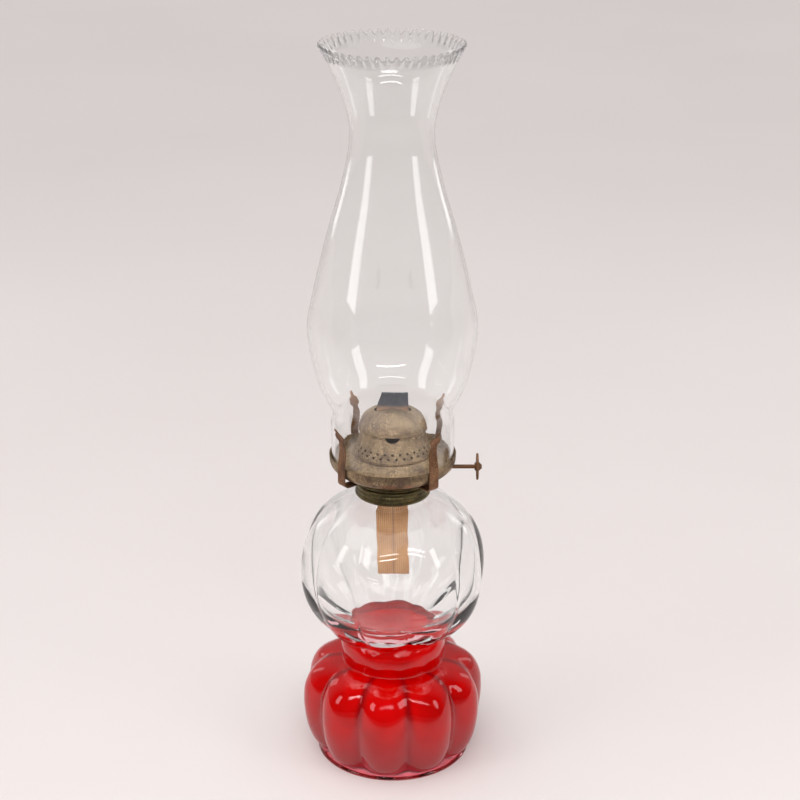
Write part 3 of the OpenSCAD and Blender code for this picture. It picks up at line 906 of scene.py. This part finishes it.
@dataclass
class Burner:
    """The bowl with its floor, the dome and the small brass pieces under them."""

    brass: Material
    brown: Material
    dark: Material
    sheet: float = 0.6 * MM
    steps: int = 160

    def bowl(self) -> None:
        """Makes the saucer-shaped bowl with a bead under it and a rolled rim."""
        low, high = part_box("burner_bowl")
        rim, bottom, top = high[0] - 0.5 * MM, low[2] + self.sheet / 2, high[2]
        edge = top - 0.5 * MM
        path = [(13.8 * MM, bottom), (24.4 * MM, bottom), (25.4 * MM, bottom + 0.1 * MM),
                (26.2 * MM, bottom + 0.75 * MM), (26.7 * MM, bottom + 0.5 * MM), (27.6 * MM, bottom + 1.05 * MM),
                (30.6 * MM, bottom + 2.3 * MM), (33.1 * MM, bottom + 4.6 * MM), (rim - 0.1 * MM, bottom + 7.0 * MM),
                (rim, edge - 0.6 * MM), (rim + 0.12 * MM, edge)]
        mesh, _ = turned(rounded(curve(path, 3), self.sheet), self.steps, closed=True)
        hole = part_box("wick_shaft")
        centre = Vector((rim, (hole[0][1] + hole[1][1]) / 2, (hole[0][2] + hole[1][2]) / 2))
        Piece("saucer_bowl", Body.BURNER, Slot.TARNISHED_BRASS, self.brass, ("burner_bowl",)).add(
            mesh, lambda piece: cut_round_hole(piece, centre, 2.4 * MM, 12 * MM))

    def floor(self) -> None:
        """Makes the floor that the chimney stands on, with its two steps."""
        low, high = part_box("gallery_floor")
        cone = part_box("air_cone")
        reach, bottom, top = high[0], low[2] + self.sheet / 2, high[2] - self.sheet / 2
        inner = cone[1][0]
        path = [(reach - 0.35 * MM, bottom), (30.2 * MM, bottom), (29.3 * MM, bottom + 0.15 * MM),
                (inner + 1.6 * MM, top - 0.75 * MM), (inner + 0.4 * MM, top - 0.1 * MM), (inner - 2.4 * MM, top)]
        mesh, _ = turned(rounded(curve(path, 3), self.sheet * 0.9), self.steps, closed=True)
        Piece("bowl_floor", Body.BURNER, Slot.TARNISHED_BRASS, self.brass, ("gallery_floor",)).add(mesh)

    def dome(self) -> None:
        """Makes the dome with a flared foot and a slot."""
        low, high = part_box("burner_dome")
        reach, bottom, top = high[0] - 0.55 * MM, low[2], high[2]
        rise = 1.6 * MM
        crest = top - bottom - rise - 0.35 * MM
        arc = [((reach - 0.1 * MM) * math.cos(a) ** 1.2, bottom + rise + crest * math.sin(a))
               for a in (math.radians(88) * k / 18 for k in range(19))]
        path = [(reach + 0.25 * MM, bottom + 0.3 * MM), (reach, bottom + 0.75 * MM)] + arc
        mesh, _ = turned(rounded(path, self.sheet), self.steps, closed=True)
        slot_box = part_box("wick_tube")
        half_w, half_t = slot_box[1][0] + 0.4 * MM, slot_box[1][1] + 0.9 * MM
        Piece("slotted_dome", Body.DOME, Slot.TARNISHED_BRASS, self.brass, ("burner_dome",)).add(
            mesh, lambda piece: cut_slot(piece, half_w, half_t, bottom, top + 4 * MM))

    def small(self) -> None:
        """Dresses the CAD pieces that keep their shape."""
        for material, nodes in ((self.brass, ("air_cone", "wick_tube", "spur_wheel_1", "spur_wheel_2")),
                                (self.dark, ("tube_plate", "vent_tube", "shaft_cage")),
                                (self.brown, ("shaft_bushing", "prong_rivets", "wick_shaft"))):
            for node in nodes:
                dress_node(node, material)

    def build(self) -> None:
        """Makes the burner."""
        self.bowl()
        self.floor()
        self.dome()
        self.small()


def cut_away(piece: Thing, mesh: Mesh) -> None:
    """Cuts a shape out of a piece and frees it."""
    tool = meshed("cutter", mesh)
    cut = piece.modifiers.new("cut", "BOOLEAN")
    cut.operation, cut.solver, cut.object = "DIFFERENCE", "EXACT", tool
    bake_modifiers(piece)
    bpy.data.objects.remove(tool)


def cut_slot(piece: Thing, half_width: float, half_depth: float, low: float, high: float) -> None:
    """Cuts an upright slot with round ends."""
    mesh = bmesh.new()
    bmesh.ops.create_circle(mesh, cap_ends=True, segments=48, radius=half_depth)
    for vert in mesh.verts:
        vert.co.x += math.copysign(half_width - half_depth, vert.co.x)
        vert.co.z = low
    raised = bmesh.ops.extrude_face_region(mesh, geom=mesh.faces[:])["geom"]
    bmesh.ops.translate(mesh, verts=[g for g in raised if isinstance(g, bmesh.types.BMVert)], vec=(0, 0, high - low))
    bmesh.ops.recalc_face_normals(mesh, faces=mesh.faces)
    cut_away(piece, mesh)


def cut_round_hole(piece: Thing, centre: Vector, radius: float, depth: float) -> None:
    """Cuts a round hole along X."""
    mesh = bmesh.new()
    bmesh.ops.create_cone(mesh, cap_ends=True, segments=40, radius1=radius, radius2=radius, depth=depth)
    bmesh.ops.rotate(mesh, verts=mesh.verts, cent=(0, 0, 0), matrix=Matrix.Rotation(math.pi / 2, 3, "Y"))
    bmesh.ops.translate(mesh, verts=mesh.verts, vec=centre)
    cut_away(piece, mesh)


# ---------- prongs ----------


@dataclass
class Prongs:
    """The four sprung prongs with leaf-shaped tips that hold the chimney."""

    brown: Material
    count: int = 4
    first: float = math.radians(39)
    sheet: float = 0.6 * MM
    glass: float = 33.75 * MM
    outer: float = 35.1 * MM
    start: float = 14.8 * MM
    rows: int = 76

    def path(self, low: float, high: float) -> list[Point]:
        """The middle line of a prong, from the burner's middle out and up."""
        bend = 2.6 * MM
        inner = self.glass + self.sheet / 2
        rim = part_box("burner_bowl")[1][2]
        z = low + self.sheet / 2
        corner = [(self.outer - bend + bend * math.sin(a), z + bend - bend * math.cos(a))
                  for a in (math.radians(22.5) * k for k in range(5))]
        rise = curve([(self.outer, rim + 0.8 * MM), (inner + 0.1 * MM, rim + (high - rim) * 0.42),
                      (inner + 0.7 * MM, rim + (high - rim) * 0.62), (inner + 2.4 * MM, rim + (high - rim) * 0.82),
                      (inner + 4.9 * MM, high - 0.15 * MM)], 6)
        return [(self.start, z)] + corner + rise

    @staticmethod
    def half_width(below_top: float) -> float:
        """Half the width of a prong at a distance below its tip."""
        shape = [(-0.5, 0.3), (0.0, 0.6), (1.5, 0.95), (2.8, 1.15), (3.8, 2.6), (5.4, 3.5), (7.0, 3.2), (8.3, 1.9),
                 (9.4, 1.75), (10.8, 2.35), (13.0, 2.5), (18.0, 2.75), (24.0, 3.05), (60.0, 3.1)]
        far = below_top / MM
        for (a, wa), (b, wb) in zip(shape, shape[1:]):
            if far <= b:
                return (wa + (wb - wa) * smooth(far, a, b)) * MM
        return shape[-1][1] * MM

    def build(self) -> None:
        """Makes each prong a little different, as bent metal is."""
        low, high = (corner[2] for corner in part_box("chimney_prong_1"))
        path = [Vector(p) for p in self.path(low, high)]
        lengths = [0.0]
        for a, b in zip(path, path[1:]):
            lengths.append(lengths[-1] + (b - a).length)
        for index in range(self.count):
            mesh = bmesh.new()
            bmesh.ops.create_grid(mesh, x_segments=6, y_segments=self.rows, size=1.0)
            turn = self.first + 2 * math.pi * index / self.count
            for vert in mesh.verts:
                along = (vert.co.y + 1) / 2 * lengths[-1]
                k = next(i for i in range(1, len(path)) if lengths[i] >= along - 1e-9)
                part = (along - lengths[k - 1]) / (lengths[k] - lengths[k - 1])
                spot = path[k - 1].lerp(path[k], part)
                wide = self.half_width(high - spot.y if spot.y > low + 3 * MM else 60 * MM)
                across = vert.co.x * wide
                dent = 0.12 * MM * noise.noise(Vector((along * 180, index * 3.1, vert.co.x)))
                crown = 0.28 * MM * (vert.co.x ** 2) * smooth(spot.y, high - 16 * MM, high - 8 * MM)
                vert.co = Vector((spot.x + dent + crown, across, spot.y))
            bmesh.ops.rotate(mesh, verts=mesh.verts, cent=(0, 0, 0), matrix=Matrix.Rotation(turn, 3, "Z"))
            bmesh.ops.recalc_face_normals(mesh, faces=mesh.faces)
            name = f"chimney_prong_{index + 1}"
            Piece(f"leaf_prong_{index + 1}", Body.BURNER, Slot.BROWNED_BRASS, self.brown, (name,), 50).add(
                mesh, lambda piece: thicken(piece, self.sheet, 0.14 * MM))


# ---------- wick and winder ----------


@dataclass
class Winder:
    """The knurled thumb wheel."""

    brown: Material
    ridges: int = 40

    def build(self) -> None:
        """Makes the wheel on the shaft's line."""
        low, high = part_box("thumb_wheel")
        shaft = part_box("wick_shaft")
        middle = Vector(((low[0] + high[0]) / 2, (low[1] + high[1]) / 2, (low[2] + high[2]) / 2))
        reach = (high[2] - low[2]) / 2
        half = (high[0] - low[0]) / 2
        disc = 0.6 * MM
        bore = (shaft[1][2] - shaft[0][2]) / 2 - 0.7 * MM
        side = [(bore, half), (2.0 * MM, half), (2.2 * MM, half - 0.2 * MM), (2.3 * MM, disc * 0.7),
                (reach * 0.55, disc * 0.45), (reach * 0.8, disc * 0.6), (reach - 0.5 * MM, disc),
                (reach - 0.12 * MM, disc * 0.8), (reach, disc * 0.3)]
        outline = side + [(r, -x) for r, x in side[::-1]]
        mesh, _ = turned(outline, self.ridges * 6, closed=True, along=Vector((1, 0, 0)))
        for vert in mesh.verts:
            radius = math.hypot(vert.co.y, vert.co.z)
            if radius > reach - 0.6 * MM:
                turn = math.atan2(vert.co.z, vert.co.y)
                pull = 1 - 0.035 * (0.5 + 0.5 * math.cos(self.ridges * turn)) ** 2
                vert.co.y *= pull
                vert.co.z *= pull
        bmesh.ops.translate(mesh, verts=mesh.verts, vec=middle)
        Piece("knurled_wheel", Body.WINDER, Slot.BROWNED_BRASS, self.brown, ("thumb_wheel",), 50).add(mesh)


@dataclass
class Wick:
    """The flat woven wick, ragged at the top and a little wavy where it hangs."""

    cotton: Material
    trim: float = 2.8 * MM

    def build(self) -> None:
        """Makes the wick as a thick strip of cloth."""
        low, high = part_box("wick")
        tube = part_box("wick_tube")
        half, thick = high[0], high[1] - low[1]
        mesh = bmesh.new()
        bmesh.ops.create_grid(mesh, x_segments=32, y_segments=150, size=1.0)
        for vert in mesh.verts:
            side = vert.co.x
            t = (vert.co.y + 1) / 2
            z = low[2] + 1.2 * MM + (high[2] - low[2] - 2.6 * MM) * t
            free = 1 - smooth(z, low[2] + 8 * MM, tube[0][2] - 4 * MM)
            hang = 0.9 * MM * free * math.sin(z * 260)
            narrow = 1 - 0.02 * free * (1 + math.sin(z * 420 + side))
            burnt = smooth(z, high[2] - 11 * MM, high[2])
            left = -half + self.trim * burnt + 0.1 * MM
            right = half - 0.3 * MM * burnt - 0.1 * MM
            x = (left + (right - left) * (side + 1) / 2) * narrow
            ragged = (0.9 * MM * noise.noise(Vector((side * 9, 0, 0)))
                      + 0.5 * MM * noise.noise(Vector((side * 31, 1, 0))))
            fringe = 0.8 * MM * noise.noise(Vector((side * 23, 5, 0)))
            z += ragged * smooth(t, 0.93, 1.0) + fringe * (1 - smooth(t, 0.0, 0.04))
            vert.co = Vector((x, hang, z))
        bmesh.ops.recalc_face_normals(mesh, faces=mesh.faces)
        Piece("woven_wick", Body.WICK, Slot.WICK_COTTON, self.cotton, ("wick",), 70).add(
            mesh, lambda piece: thicken(piece, thick * 0.82, 0.3 * MM))


# ---------- studio ----------


@dataclass
class Studio:
    """The floor, the lights and the camera."""

    paper: Material
    camera_place: Vector = Vector((0.004, -0.953, 0.598))
    camera_tilt: float = 68.0
    lens: float = 85.7
    sensor: float = 36.0
    glow: float = 0.74
    scatter_cut: float = 0.46
    mirror_cut: float = 0.66
    least_glow: float = 0.06

    def floor(self) -> None:
        """Lays the paper."""
        mesh = bmesh.new()
        bmesh.ops.create_grid(mesh, x_segments=4, y_segments=4, size=12.0)
        ground = meshed("paper_floor", mesh)
        ground.data.materials.append(self.paper)
        ground.location.z = -0.0002

    @staticmethod
    def panel(name: str, place: Vector, aim: Vector, size: Point, power: float) -> None:
        """Hangs a soft light that faces a point."""
        data = bpy.data.lights.new(name, "AREA")
        data.shape, data.size, data.size_y = "RECTANGLE", *size
        data.energy = power
        made = placed(name, data)
        made.location = place
        made.rotation_euler = (aim - place).to_track_quat("-Z", "Y").to_euler()
        made.visible_camera = False

    def lights(self) -> None:
        """Lights the lamp from both sides, from above, and with two thin bars over the camera."""
        middle = Vector((0, 0, 0.2))
        for side in (-1, 1):
            self.panel(f"side_{side}", Vector((side * 0.8, -0.45, 0.55)), middle, (0.26, 0.5), 1.3)
            self.panel(f"back_{side}", Vector((side * 0.8, 0.75, 0.5)), middle, (0.2, 0.6), 0.5)
        for y, z in ((-1.09, 0.91), (-0.97, 1.05)):
            self.panel(f"bar_{z}", Vector((0.05, y, z)), Vector((0, 0, 0.13)), (1.1, 0.022), 2.4)
        data = bpy.data.lights.new("sky", "SUN")
        data.energy, data.angle = 1.9, math.radians(75)
        data.color = (1.0, 0.985, 0.975)
        sky = placed("sky", data)
        sky.rotation_euler = (math.radians(12), math.radians(-8), 0)
        sky.visible_glossy = False

    def room(self) -> None:
        """Surrounds the lamp with pale light, dim for scattered rays and for mirrors that face the camera's side."""
        world = bpy.data.worlds.new("room")
        world.use_nodes = True
        tree = world.node_tree
        back = tree.nodes["Background"]
        back.inputs["Color"].default_value = (0.93, 0.9, 0.89, 1)
        path = tree.nodes.new("ShaderNodeLightPath")
        place = tree.nodes.new("ShaderNodeTexCoord")
        split = tree.nodes.new("ShaderNodeSeparateXYZ")
        tree.links.new(place.outputs["Generated"], split.inputs[0])
        behind = Signal(tree, split.outputs["Y"]).between(-0.05, 0.5)
        diffuse = Signal(tree, path.outputs["Is Diffuse Ray"])
        mirrored = reflected(tree) * (1.0 - behind * 0.55)
        strength = self.glow - diffuse * self.scatter_cut - mirrored * self.mirror_cut
        tree.links.new(strength.most(self.least_glow).socket, back.inputs["Strength"])
        bpy.context.scene.world = world

    def camera(self) -> None:
        """Sets the camera up."""
        data = bpy.data.cameras.new("camera")
        data.lens, data.sensor_width = self.lens, self.sensor
        made = placed("camera", data)
        made.location = self.camera_place
        made.rotation_euler = (math.radians(self.camera_tilt), 0, 0)
        bpy.context.scene.camera = made

    def build(self) -> None:
        """Makes the studio."""
        self.floor()
        self.lights()
        self.room()
        self.camera()
        bpy.context.scene.view_settings.view_transform = "Standard"


def main() -> None:
    """Builds the lamp's looks."""
    logging.basicConfig(level=logging.INFO, format="%(name)s %(message)s")
    brass = Brass("tarnished_brass", (0.4, 0.29, 0.17), (0.19, 0.13, 0.085), (0.1, 0.055, 0.04)).material()
    dark = Brass("dark_brass", (0.2, 0.16, 0.07), (0.075, 0.06, 0.03), (0.02, 0.016, 0.01),
                 shine=0.28, matt=0.5).material()
    brown = Brass("browned_brass", (0.30, 0.155, 0.08), (0.17, 0.082, 0.042), (0.07, 0.035, 0.02),
                  shine=0.4, matt=0.66, metal=0.75).material()
    dome_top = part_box("burner_dome")[1][2]
    studio = Studio(Paper().material())
    studio.build()
    foot_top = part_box("glass_foot")[1][2]
    GlassBody(Glass("pressed_glass", ripple=0.00012, blush_to=foot_top - 0.4 * MM).material(),
              Enamel(foot_top).material()).build()
    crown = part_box("chimney")[1][2]
    Chimney(Glass("blown_glass", veil=0.6, veil_from=crown - 8 * MM).material()).build()
    Collar(dark, Plaster().material()).build()
    Burner(brass, brown, dark).build()
    Prongs(brown).build()
    Winder(brown).build()
    Wick(Cotton(dome_top - 3 * MM, dome_top + 1 * MM).material()).build()


if __name__ == "__main__":
    main()
